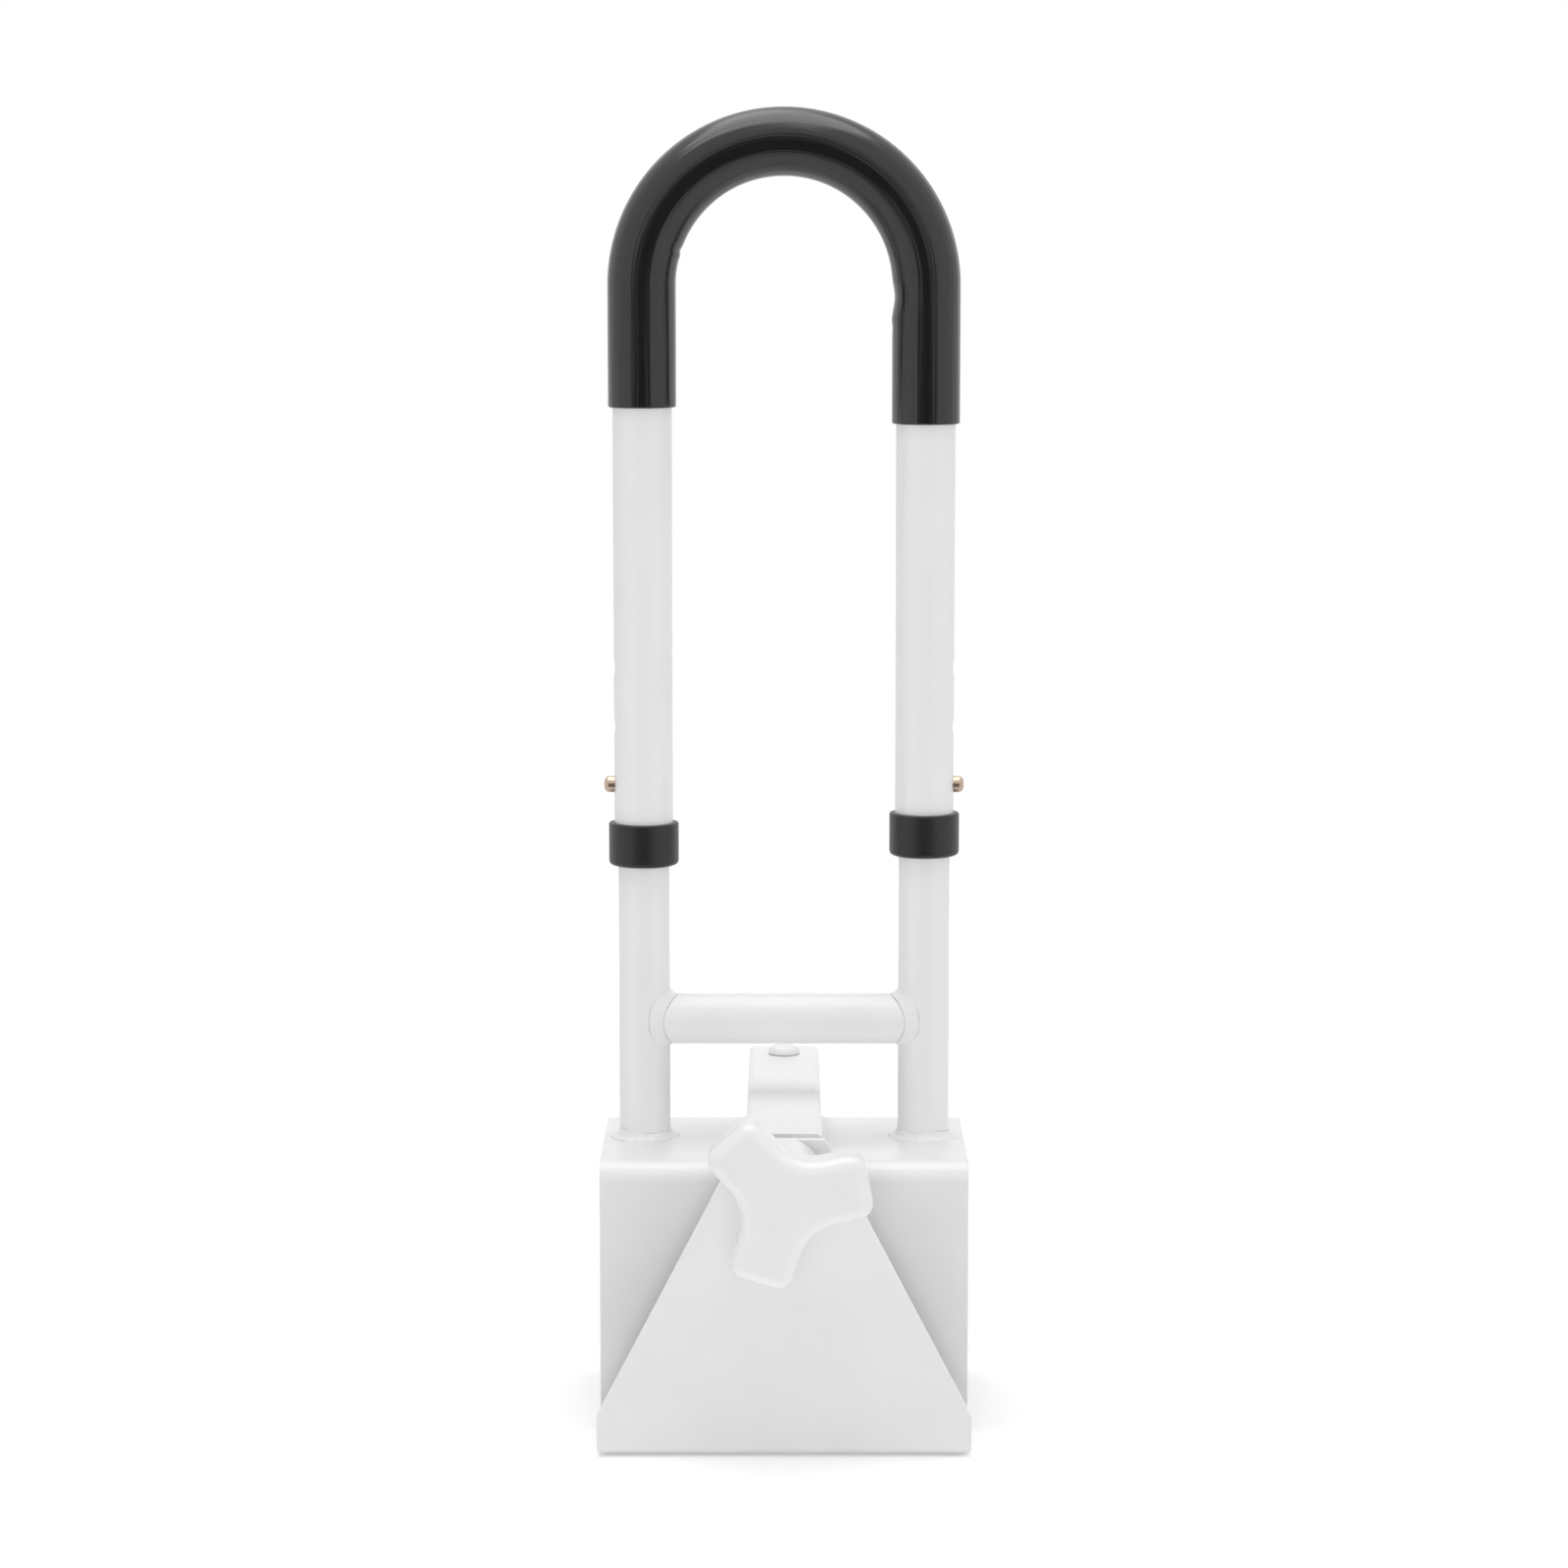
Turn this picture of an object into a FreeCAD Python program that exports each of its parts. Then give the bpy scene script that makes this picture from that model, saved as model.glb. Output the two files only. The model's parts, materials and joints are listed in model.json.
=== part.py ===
import FreeCAD, Part
import math
import os
import re

import Sketcher
from FreeCAD import Placement, Rotation, Vector

# Clamp-on bathtub safety rail: an adjustable hoop on two posts, a folded saddle and a screw clamp.
# Millimetres, +Z up, +X to the right, and -Y towards the person who turns the knob.
# The origin lies under the middle of the rail's own box, on the surface that it stands on.

# Driving dimensions
SIZES = {
    # Posts and crossbar
    "post_inset": 17.75,
    "post_diameter": 22.2,
    "post_wall": 1.5,
    "post_overlap": 40,
    "crossbar_rise": 51.9,
    "crossbar_diameter": 22,
    "crossbar_wall": 1.5,
    "crossbar_weld_leg": 2.5,
    "foot_weld_leg": 5.5,
    # Hoop
    "hoop_diameter": 25.4,
    "hoop_wall": 1.2,
    "hoop_arc_rise": 213.5,
    "left_leg_drop": 32.9,
    "right_leg_drop": 28.7,
    # Grip and collars
    "grip_wall": 1.6,
    "left_grip_leg": 51.6,
    "right_grip_leg": 58.6,
    "grip_lip_radius": 0.8,
    "collar_height": 18.5,
    "collar_diameter": 30.2,
    "collar_lip": 2,
    "collar_rim_radius": 0.8,
    "collar_foot_radius": 2,
    "collar_post_gap": 0.3,
    # Height adjustment
    "button_rise": 154.5,
    "hole_pitch": 25.4,
    "hole_gap": 0.4,
    "button_diameter": 7.2,
    "button_reach": 4.3,
    "button_tip_radius": 2.4,
    "button_head_diameter": 9.6,
    "button_head_thickness": 1.4,
    "button_head_gap": 1.4,
    "spring_thickness": 0.8,
    "spring_width": 7,
    "spring_length": 30,
    "spring_wall_gap": 0.9,
    # Saddle
    "saddle_width": 156.5,
    "saddle_front_reach": 55.4,
    "saddle_rear_reach": 45.6,
    "saddle_height": 116.5,
    "plate_thickness": 3,
    "bend_radius": 8,
    "saddle_corner_radius": 4,
    "sheet_edge_radius": 0.7,
    # Guide tube and nut
    "guide_side": 32,
    "guide_wall": 2,
    "guide_corner_radius": 3,
    "guide_rise": 19.5,
    "guide_front_gap": 3,
    "guide_rear_reach": 56.6,
    "guide_slot_gap": 0.2,
    "guide_weld_leg": 3,
    "nut_block_length": 26,
    "nut_bolt_setback": 16,
    "nut_bolt_diameter": 6,
    "nut_bolt_depth": 6,
    "nut_bolt_head_diameter": 14.1,
    "nut_bolt_head_height": 3.6,
    "nut_bolt_seat_share": 0.82,
    "nut_bolt_seat_height": 0.5,
    "cap_flange": 2.2,
    "cap_plug": 3,
    # Moving jaw and pads
    "jaw_gap": 34.6,
    "jaw_band_height": 17,
    "jaw_crown": 15,
    "jaw_top_width": 34,
    "jaw_lip": 11,
    "jaw_lip_radius": 4,
    "jaw_bend_radius": 6,
    "jaw_corner_radius": 3,
    "jaw_top_radius": 2.2,
    "slider_gap": 0.3,
    "slider_wall": 2,
    "slider_nut_gap": 23.2,
    "pad_thickness": 4,
    "pad_width": 84,
    "pad_height": 52,
    "pad_rise": 12,
    "pad_corner_radius": 5,
    "pad_edge_radius": 1,
    # Screw, knob and their fittings
    "screw_diameter": 10,
    "screw_hole_gap": 0.3,
    "screw_thread_gap": 0.08,
    "screw_tail": 53,
    "screw_chamfer": 1.2,
    "washer_diameter": 24,
    "washer_thickness": 2,
    "ring_diameter": 17,
    "ring_thickness": 3,
    "ring_gap": 0.1,
    "hub_length": 30,
    "hub_diameter": 32,
    "knob_thickness": 22,
    "knob_reach": 35,
    "knob_lobe_width": 26.5,
    "knob_tip_radius": 6.5,
    "knob_notch_radius": 20,
    "knob_edge_share": 0.8,
    "insert_across_flats": 17,
    "insert_length": 25,
    # Shared gap between pieces fixed to each other, and shared overrun of cuts
    "skin_gap": 0.05,
    "overrun": 5,
}

# Places worked out from the dimensions
PLACES = {
    "post_spacing": "saddle_width - 2 * post_inset",
    "knob_stack": "plate_thickness + washer_thickness + hub_length + knob_thickness",
    "front_reach": "saddle_front_reach + jaw_gap + knob_stack",
    "rear_reach": "saddle_rear_reach + guide_rear_reach + screw_tail",
    "post_plane": "(front_reach - rear_reach) / 2",
    "flange_front": "post_plane - saddle_front_reach",
    "flange_rear": "post_plane + saddle_rear_reach",
    "jaw_rear": "flange_front - jaw_gap",
    "jaw_front": "jaw_rear - plate_thickness",
    "hub_rear": "jaw_front - washer_thickness",
    "guide_front": "jaw_rear + guide_front_gap",
    "guide_rear": "flange_rear + guide_rear_reach",
    "guide_bore": "guide_side - 2 * guide_wall",
    "nut_rear": "guide_rear - cap_plug",
    "slider_rear": "nut_rear - nut_block_length - slider_nut_gap",
    "screw_rear": "guide_rear + screw_tail",
    "guide_top": "saddle_height + guide_rise",
    "guide_bottom": "guide_top - guide_side",
    "screw_axis": "guide_top - guide_side / 2",
    "jaw_height": "screw_axis + jaw_crown",
    "button_height": "saddle_height + button_rise",
    "arc_height": "button_height + hoop_arc_rise",
    "crossbar_height": "saddle_height + crossbar_rise",
    "post_top": "button_height + post_overlap",
    "post_length": "post_top - saddle_height",
    "left_leg_end": "button_height - left_leg_drop",
    "right_leg_end": "button_height - right_leg_drop",
    "button_tip": "hoop_diameter / 2 + button_reach",
    "post_bore": "post_diameter / 2 - post_wall",
    "button_head_face": "post_bore - button_head_gap",
    "knob_edge_radius": "knob_tip_radius * knob_edge_share",
}

# Counts and angles
HOLE_COUNT = 3
LOBE_COUNT = 3
LOBE_TURN = 42
FULL_TURN = 360

LEFT, RIGHT = -1, 1
SIDES = {"left": LEFT, "right": RIGHT}
ALONG_FRONT = Rotation(Vector(1, 0, 0), 90)
ALONG_X = Rotation(Vector(0, 1, 0), 90)

doc = FreeCAD.newDocument("bathtub_rail")
subparts = []


# Sheets, formulas and checks

def linked(formula):
    """The formula with each name tied to its cell."""
    def cell(match):
        word = match[0]
        sheet = "Sizes." if word in SIZES else "Places." if word in PLACES else ""
        return sheet + word
    return re.sub(r"[a-z_]+", cell, formula)


def make_sheets():
    """Writes the driving dimensions and the places that follow from them."""
    sizes = doc.addObject("Spreadsheet::Sheet", "Sizes")
    for row, (alias, number) in enumerate(SIZES.items(), start=1):
        sizes.set(f"A{row}", alias)
        sizes.set(f"B{row}", str(number))
        sizes.setAlias(f"B{row}", alias)
    doc.recompute()
    places = doc.addObject("Spreadsheet::Sheet", "Places")
    for row, alias in enumerate(PLACES, start=1):
        places.set(f"A{row}", alias)
        places.setAlias(f"B{row}", alias)
    for row, formula in enumerate(PLACES.values(), start=1):
        places.set(f"B{row}", "=" + linked(formula).replace("Places.", ""))
    doc.recompute()


def value(formula):
    """The number that a formula gives now."""
    result = doc.Sizes.evalExpression(linked(str(formula)))
    return float(getattr(result, "Value", result))


def bind(target, **formulas):
    """Ties properties of an object to formulas."""
    for name, formula in formulas.items():
        target.setExpression(name, linked(formula))
    return target


def place(target, x="0", y="0", z="0", rotation=None):
    """Turns an object and ties its place to formulas."""
    target.Placement = Placement(Vector(value(x), value(y), value(z)), rotation or Rotation())
    for axis, formula in zip("xyz", (x, y, z)):
        if formula != "0":
            target.setExpression(f"Placement.Base.{axis}", linked(formula))
    return target


def finish(target, label):
    """Names a finished sub-part and puts it on the list."""
    target.Label = label
    subparts.append(target)
    return target


# Sketches

def new_body(label):
    return finish(doc.addObject("PartDesign::Body", label), label)


def sketch_on(body, role, offset="0"):
    """An empty sketch on one of the body's own planes, or at a distance from it."""
    sketch = body.newObject("Sketcher::SketchObject", "Sketch")
    plane = next(item for item in body.Origin.OriginFeatures if item.Role == role)
    sketch.AttachmentSupport = (plane, [""])
    sketch.MapMode = "FlatFace"
    if offset != "0":
        sketch.setExpression("AttachmentOffset.Base.z", linked(offset))
    return sketch


def fix_point(sketch, edge, end, point):
    """Ties one point of a sketch to two formulas, measured from the sketch's origin."""
    for kind, formula in zip(("DistanceX", "DistanceY"), point):
        if formula is None:
            continue
        index = sketch.addConstraint(Sketcher.Constraint(kind, -1, 1, edge, end, value(formula)))
        sketch.setExpression(f"Constraints[{index}]", linked(formula))


def spot(point):
    return Vector(value(point[0]), value(point[1]), 0)


def outline(sketch, corners, closed=True):
    """Draws straight edges and arcs through corners. A corner with a third item starts an arc round it."""
    ends = []
    count = len(corners) if closed else len(corners) - 1
    for index in range(count):
        corner, following = corners[index], corners[(index + 1) % len(corners)]
        start, stop = spot(corner), spot(following)
        if len(corner) == 2:
            edge = sketch.addGeometry(Part.LineSegment(start, stop), False)
            ends.append((edge, 1, 2))
            continue
        centre = spot(corner[2])
        radius = (start - centre).Length
        angles = [math.atan2(*reversed((point - centre)[:2])) for point in (start, stop)]
        onward = (angles[1] - angles[0]) % (2 * math.pi) <= math.pi * (1 + 1e-6)
        first, last = angles if onward else reversed(angles)
        circle = Part.Circle(centre, Vector(0, 0, 1), radius)
        edge = sketch.addGeometry(Part.ArcOfCircle(circle, first, last), False)
        ends.append((edge, 1, 2) if onward else (edge, 2, 1))
        fix_point(sketch, edge, 3, (corner[2][0], None))
    for index, (edge, start, stop) in enumerate(ends):
        fix_point(sketch, edge, start, corners[index][:2])
        if closed or index + 1 < count:
            after = ends[(index + 1) % count]
            sketch.addConstraint(Sketcher.Constraint("Coincident", edge, stop, after[0], after[1]))
        else:
            fix_point(sketch, edge, stop, corners[-1][:2])
    return sketch


def circle(sketch, radius, centre=("0", "0")):
    """Adds a circle whose radius and centre follow formulas."""
    edge = sketch.addGeometry(Part.Circle(spot(centre), Vector(0, 0, 1), value(radius)), False)
    index = sketch.addConstraint(Sketcher.Constraint("Radius", edge, value(radius)))
    sketch.setExpression(f"Constraints[{index}]", linked(radius))
    fix_point(sketch, edge, 3, centre)
    return sketch


def box_corners(low, high):
    """The four corners of an upright rectangle."""
    return [low, (high[0], low[1]), high, (low[0], high[1])]


# Features

def pad(body, sketch, length, both_ways=False, backwards=False):
    feature = body.newObject("PartDesign::Pad", "Pad")
    feature.Profile = sketch
    feature.Midplane = both_ways
    feature.Reversed = backwards
    bind(feature, Length=length)
    doc.recompute()
    return feature


def pocket(body, sketch, length, both_ways=False, backwards=False):
    """Cuts a sketch out of a body, and makes sure that the cut took something away."""
    before = body.Shape.Volume
    feature = body.newObject("PartDesign::Pocket", "Pocket")
    feature.Profile = sketch
    feature.Midplane = both_ways
    feature.Reversed = backwards
    bind(feature, Length=length)
    doc.recompute()
    if not body.Shape.Volume < before:
        raise RuntimeError(f"a pocket of {body.Label} cuts nothing")
    return feature


def revolve(body, sketch, axis="V_Axis"):
    feature = body.newObject("PartDesign::Revolution", "Revolution")
    feature.Profile = sketch
    feature.ReferenceAxis = (sketch, [axis])
    feature.Angle = FULL_TURN
    doc.recompute()
    return feature


def pipe(body, profile, path):
    feature = body.newObject("PartDesign::AdditivePipe", "Pipe")
    feature.Profile = profile
    feature.Spine = path
    doc.recompute()
    return feature


def fillet(body, radius, chosen):
    """Rounds the edges of a body that the test picks out."""
    base = body.Tip
    names = [f"Edge{n}" for n, edge in enumerate(base.Shape.Edges, start=1) if chosen(edge)]
    if not names:
        raise RuntimeError(f"no edge of {body.Label} fits the rounding")
    feature = body.newObject("PartDesign::Fillet", "Fillet")
    feature.Base = (base, names)
    bind(feature, Radius=radius)
    doc.recompute()
    return feature


def near(number, formula):
    return math.isclose(number, value(formula), abs_tol=1e-4)


def lies_along(edge, direction):
    """True for a straight edge that runs along a direction."""
    return edge.Curve.TypeId == "Part::GeomLine" and edge.Curve.Direction.cross(direction).Length < 1e-6


def rod(label, diameter, length):
    """A plain round bar along its own Z."""
    bar = doc.addObject("Part::Cylinder", label)
    return bind(bar, Radius=f"({diameter}) / 2", Height=length)


def cut(label, base, tool):
    """What is left of a base once a tool is taken away."""
    result = doc.addObject("Part::Cut", label)
    result.Base, result.Tool = base, tool
    return result


# Posts and crossbar

def make_post(side, sign):
    """A straight tube that stands on the saddle, with one hole for its snap button."""
    body = new_body(f"{side}_post")
    rings = sketch_on(body, "XY_Plane")
    circle(rings, "post_diameter / 2")
    circle(rings, "post_bore")
    pad(body, rings, "post_length")
    hole = sketch_on(body, "YZ_Plane")
    circle(hole, "button_diameter / 2 + hole_gap", ("0", "button_rise"))
    pocket(body, hole, "post_diameter", backwards=sign == RIGHT)
    place(body, f"{sign} * post_spacing / 2", "post_plane", "saddle_height")


def post_bars(name, growth):
    """Both posts as solid bars of a larger radius, for shaping what seats on them."""
    bars = []
    for side, sign in SIDES.items():
        bar = rod(f"{name}_{side}", f"post_diameter + 2 * {growth}", "post_length")
        bars.append(place(bar, f"{sign} * post_spacing / 2", "post_plane", "saddle_height"))
    both = doc.addObject("Part::MultiFuse", name)
    both.Shapes = bars
    return both


def cross_rod(name, growth):
    """A solid bar along the crossbar, between the middles of the posts."""
    bar = rod(name, f"crossbar_diameter + 2 * {growth}", "post_spacing")
    return place(bar, "-post_spacing / 2", "post_plane", "crossbar_height", ALONG_X)


def make_crossbar():
    """The tube that ties the posts together, coped to their round sides."""
    tube = cut("CrossbarTube", cross_rod("CrossbarSkin", "0"), cross_rod("CrossbarBore", "-crossbar_wall"))
    finish(cut("crossbar", tube, post_bars("CrossbarCope", "skin_gap")), "crossbar")


def make_crossbar_weld(side, sign):
    """The bead in the corner where one end of the crossbar meets its post."""
    name = f"{side}Bead"
    around_bar = cut(f"{name}OnBar", cross_rod(f"{name}Outer", "crossbar_weld_leg"),
                     cross_rod(f"{name}Inner", "skin_gap"))
    near_post = rod(f"{name}Post", "post_diameter + 2 * crossbar_weld_leg", "post_length")
    place(near_post, f"{sign} * post_spacing / 2", "post_plane", "saddle_height")
    corner = doc.addObject("Part::Common", f"{name}Corner")
    corner.Base, corner.Tool = around_bar, near_post
    label = f"{side}_crossbar_weld"
    finish(cut(label, corner, post_bars(f"{name}Cope", "skin_gap")), label)


def make_foot_weld(side, sign):
    """The hollow-faced bead that joins a post to the saddle."""
    body = new_body(f"{side}_foot_weld")
    inner = "post_diameter / 2 + skin_gap"
    outer = f"{inner} + foot_weld_leg"
    section = sketch_on(body, "XZ_Plane")
    outline(section, [
        (inner, "0"),
        (outer, "0", (outer, "foot_weld_leg")),
        (inner, "foot_weld_leg"),
    ])
    revolve(body, section)
    place(body, f"{sign} * post_spacing / 2", "post_plane", "saddle_height")


# Hoop, grip and collars

def hoop_path(body, left_end, right_end):
    """The hoop's centre line: up one leg, over the arc and down the other."""
    half = "post_spacing / 2"
    centre = ("0", "arc_height")
    return outline(sketch_on(body, "XZ_Plane"), [
        (f"-{half}", left_end),
        (f"-{half}", "arc_height", centre),
        ("0", f"arc_height + {half}", centre),
        (half, "arc_height"),
        (half, right_end),
    ], closed=False)


def hoop_rings(body, height, outer, inner):
    """The section of a sleeve or tube at the end of the left leg."""
    rings = sketch_on(body, "XY_Plane", height)
    centre = ("-post_spacing / 2", "0")
    circle(rings, outer, centre)
    return circle(rings, inner, centre)


def make_hoop():
    """The bent tube, with a row of height holes in the outer side of each leg."""
    body = new_body("hoop_tube")
    rings = hoop_rings(body, "left_leg_end", "hoop_diameter / 2", "hoop_diameter / 2 - hoop_wall")
    pipe(body, rings, hoop_path(body, "left_leg_end", "right_leg_end"))
    for sign in SIDES.values():
        holes = sketch_on(body, "YZ_Plane", f"{sign} * post_spacing / 2")
        for step in range(HOLE_COUNT):
            circle(holes, "button_diameter / 2 + hole_gap", ("0", f"button_height + {step} * hole_pitch"))
        pocket(body, holes, "hoop_diameter", backwards=sign == RIGHT)
    place(body, y="post_plane")


def make_grip():
    """The soft sleeve over the top of the hoop."""
    body = new_body("hand_grip")
    inner = "hoop_diameter / 2 + skin_gap"
    left_end, right_end = "arc_height - left_grip_leg", "arc_height - right_grip_leg"
    rings = hoop_rings(body, left_end, f"{inner} + grip_wall", inner)
    pipe(body, rings, hoop_path(body, left_end, right_end))

    def outer_rim(edge):
        box = edge.BoundBox
        at_end = any(near(box.ZMin, end) and near(box.ZMax, end) for end in (left_end, right_end))
        return at_end and near(box.XLength / 2, f"{inner} + grip_wall")

    fillet(body, "grip_lip_radius", outer_rim)
    place(body, y="post_plane")


def make_collar(side, sign):
    """The black band that covers the end of a hoop leg and guides the post."""
    body = new_body(f"{side}_collar")
    outer = "collar_diameter / 2"
    foot_line, rim_line = f"{outer} - collar_foot_radius", f"{outer} - collar_rim_radius"
    rim_start = "collar_height - collar_rim_radius"
    sleeve = "hoop_diameter / 2 + skin_gap"
    guide = "post_diameter / 2 + collar_post_gap"
    section = sketch_on(body, "XZ_Plane")
    outline(section, [
        (guide, "0"),
        (foot_line, "0", (foot_line, "collar_foot_radius")),
        (outer, "collar_foot_radius"),
        (outer, rim_start, (rim_line, rim_start)),
        (rim_line, "collar_height"),
        (sleeve, "collar_height"),
        (sleeve, "collar_lip"),
        (guide, "collar_lip"),
    ])
    revolve(body, section)
    place(body, f"{sign} * post_spacing / 2", "post_plane", f"{side}_leg_end - collar_lip")


# Snap buttons

def make_button(side, sign):
    """A stepped pin with a rounded tip, which pops out through the post and the hoop."""
    body = new_body(f"{side}_button")
    radius, head = "button_diameter / 2", "button_head_diameter / 2"
    head_back = "button_head_face - button_head_thickness"
    tip_centre = (f"{radius} - button_tip_radius", "button_tip - button_tip_radius")
    section = sketch_on(body, "XZ_Plane")
    outline(section, [
        ("0", head_back),
        (head, head_back),
        (head, "button_head_face"),
        (radius, "button_head_face"),
        (radius, tip_centre[1], tip_centre),
        (tip_centre[0], "button_tip"),
        ("0", "button_tip"),
    ])
    revolve(body, section)
    turn = Rotation(Vector(0, 1, 0), 90 * sign)
    place(body, f"{sign} * post_spacing / 2", "post_plane", "button_height", turn)


def make_snap_spring(side, sign):
    """The leaf spring inside a post: one leg on the far wall, a bend below, one leg behind the button."""
    body = new_body(f"{side}_snap_spring")
    near_leg = "(button_head_face - button_head_thickness - skin_gap)"
    far_leg = "(spring_wall_gap - post_bore)"
    middle = f"({near_leg} + {far_leg}) / 2"
    radius = f"({near_leg} - {far_leg}) / 2"
    bend = (middle, "-spring_length")
    top = "button_head_diameter / 2"
    section = sketch_on(body, "XZ_Plane")
    outline(section, [
        (near_leg, top),
        (f"{near_leg} - spring_thickness", top),
        (f"{near_leg} - spring_thickness", "-spring_length", bend),
        (middle, f"-spring_length - {radius} + spring_thickness", bend),
        (f"{far_leg} + spring_thickness", "-spring_length"),
        (f"{far_leg} + spring_thickness", top),
        (far_leg, top),
        (far_leg, "-spring_length", bend),
        (middle, f"-spring_length - {radius}", bend),
        (near_leg, "-spring_length"),
    ])
    pad(body, section, "spring_width", both_ways=True)
    turn = Rotation() if sign == RIGHT else Rotation(Vector(0, 0, 1), 180)
    place(body, f"{sign} * post_spacing / 2", "post_plane", "button_height", turn)


# Saddle

def make_saddle():
    """The folded plate under the posts: a top and two flanges, slotted for the guide tube."""
    body = new_body("saddle")
    front, rear, top = "-saddle_front_reach", "saddle_rear_reach", "saddle_height"
    inner_top = "saddle_height - plate_thickness"
    section = sketch_on(body, "YZ_Plane")
    outline(section, [
        (front, "0"),
        (f"{front} + plate_thickness", "0"),
        (f"{front} + plate_thickness", inner_top),
        (f"{rear} - plate_thickness", inner_top),
        (f"{rear} - plate_thickness", "0"),
        (rear, "0"),
        (rear, top),
        (front, top),
    ])
    pad(body, section, "saddle_width", both_ways=True)
    across, along = Vector(1, 0, 0), Vector(0, 1, 0)
    fillet(body, "bend_radius - plate_thickness",
           lambda edge: lies_along(edge, across) and near(edge.CenterOfMass.z, inner_top))
    fillet(body, "bend_radius",
           lambda edge: lies_along(edge, across) and near(edge.CenterOfMass.z, top))
    fillet(body, "saddle_corner_radius",
           lambda edge: lies_along(edge, along) and near(edge.CenterOfMass.z, "0"))
    slot = sketch_on(body, "XY_Plane", "guide_bottom - guide_slot_gap")
    half = "(guide_side / 2 + guide_slot_gap)"
    outline(slot, box_corners((f"-{half}", f"{front} - overrun"), (half, f"{rear} + overrun")))
    pocket(body, slot, "guide_side", backwards=True)
    half_width = value("saddle_width / 2")

    def end_rim(edge):
        box = edge.BoundBox
        at_end = box.XLength < 1e-3 and math.isclose(abs(box.XMin), half_width, abs_tol=1e-3)
        return at_end or (lies_along(edge, across) and near(box.ZMax, "0"))

    fillet(body, "sheet_edge_radius", end_rim)
    place(body, y="post_plane")


# Guide tube and what it holds

def rounded_square(sketch, side, radius, middle="0"):
    """A square with rounded corners, whose middle lies on the sketch's vertical axis."""
    far, core = f"({side}) / 2", f"(({side}) / 2 - ({radius}))"
    corners = []
    for x, y in ((1, -1), (1, 1), (-1, 1), (-1, -1)):
        centre = (f"{x} * {core}", f"{middle} + {y} * {core}")
        beside = (f"{x} * {far}", centre[1])
        above = (centre[0], f"{middle} + {y} * {far}")
        first, last = (above, beside) if x * y < 0 else (beside, above)
        corners += [(*first, centre), last]
    return outline(sketch, corners)


def make_guide_tube():
    """The square tube that carries the jaw's slider, set into the saddle."""
    body = new_body("guide_tube")
    rings = sketch_on(body, "XY_Plane")
    rounded_square(rings, "guide_side", "guide_corner_radius")
    rounded_square(rings, "guide_bore", "guide_corner_radius - guide_wall")
    pad(body, rings, "guide_rear - guide_front")
    hole = sketch_on(body, "XZ_Plane")
    circle(hole, "nut_bolt_diameter / 2 + skin_gap", ("0", "nut_bolt_setback"))
    pocket(body, hole, "guide_side")
    place(body, y="guide_rear", z="screw_axis", rotation=ALONG_FRONT)


def make_guide_weld(side, sign):
    """The bead along one side of the guide tube, on top of the saddle."""
    body = new_body(f"{side}_guide_weld")
    inner = f"{sign} * (guide_side / 2 + skin_gap)"
    outer = f"{sign} * (guide_side / 2 + skin_gap + guide_weld_leg)"
    section = sketch_on(body, "XZ_Plane", "-(saddle_rear_reach - saddle_front_reach) / 2")
    outline(section, [(inner, "0"), (outer, "0"), (inner, "guide_weld_leg")])
    pad(body, section, "saddle_front_reach + saddle_rear_reach - 2 * bend_radius", both_ways=True)
    place(body, y="post_plane", z="saddle_height")


def make_nut_block():
    """The threaded block inside the rear end of the guide tube."""
    body = new_body("nut_block")
    section = sketch_on(body, "XY_Plane")
    rounded_square(section, "guide_bore - 2 * skin_gap", "guide_corner_radius - guide_wall")
    circle(section, "screw_diameter / 2 + screw_thread_gap")
    pad(body, section, "nut_block_length")
    hole = sketch_on(body, "XZ_Plane", "-guide_bore / 2")
    circle(hole, "nut_bolt_diameter / 2 + skin_gap", ("0", "nut_bolt_setback - cap_plug"))
    pocket(body, hole, "nut_bolt_depth + skin_gap", backwards=True)
    place(body, y="nut_rear", z="screw_axis", rotation=ALONG_FRONT)


def make_nut_bolt():
    """The domed bolt through the top of the guide tube, which holds the nut block."""
    body = new_body("nut_bolt")
    shank, head = "nut_bolt_diameter / 2", "nut_bolt_head_diameter / 2"
    seat = f"{head} * nut_bolt_seat_share"
    flat = f"{head} - nut_bolt_head_height"
    top = "nut_bolt_seat_height + nut_bolt_head_height"
    depth = "nut_bolt_depth + guide_wall"
    section = sketch_on(body, "XZ_Plane")
    outline(section, [
        ("0", f"-({depth})"),
        (shank, f"-({depth})"),
        (shank, "0"),
        (seat, "0"),
        (seat, "nut_bolt_seat_height"),
        (head, "nut_bolt_seat_height", (flat, "nut_bolt_seat_height")),
        (flat, top),
        ("0", top),
    ])
    revolve(body, section)
    place(body, y="guide_rear - nut_bolt_setback", z="guide_top")


def make_end_cap():
    """The plastic cap that closes the rear of the guide tube and lets the screw through."""
    body = new_body("end_cap")
    flange = sketch_on(body, "XY_Plane")
    rounded_square(flange, "guide_side", "guide_corner_radius")
    circle(flange, "screw_diameter / 2 + screw_hole_gap")
    pad(body, flange, "cap_flange", backwards=True)
    plug = sketch_on(body, "XY_Plane")
    rounded_square(plug, "guide_bore - 2 * skin_gap", "guide_corner_radius - guide_wall")
    circle(plug, "screw_diameter / 2 + screw_hole_gap")
    pad(body, plug, "cap_plug")
    place(body, y="guide_rear", z="screw_axis", rotation=ALONG_FRONT)


# Jaw and pads

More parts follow.
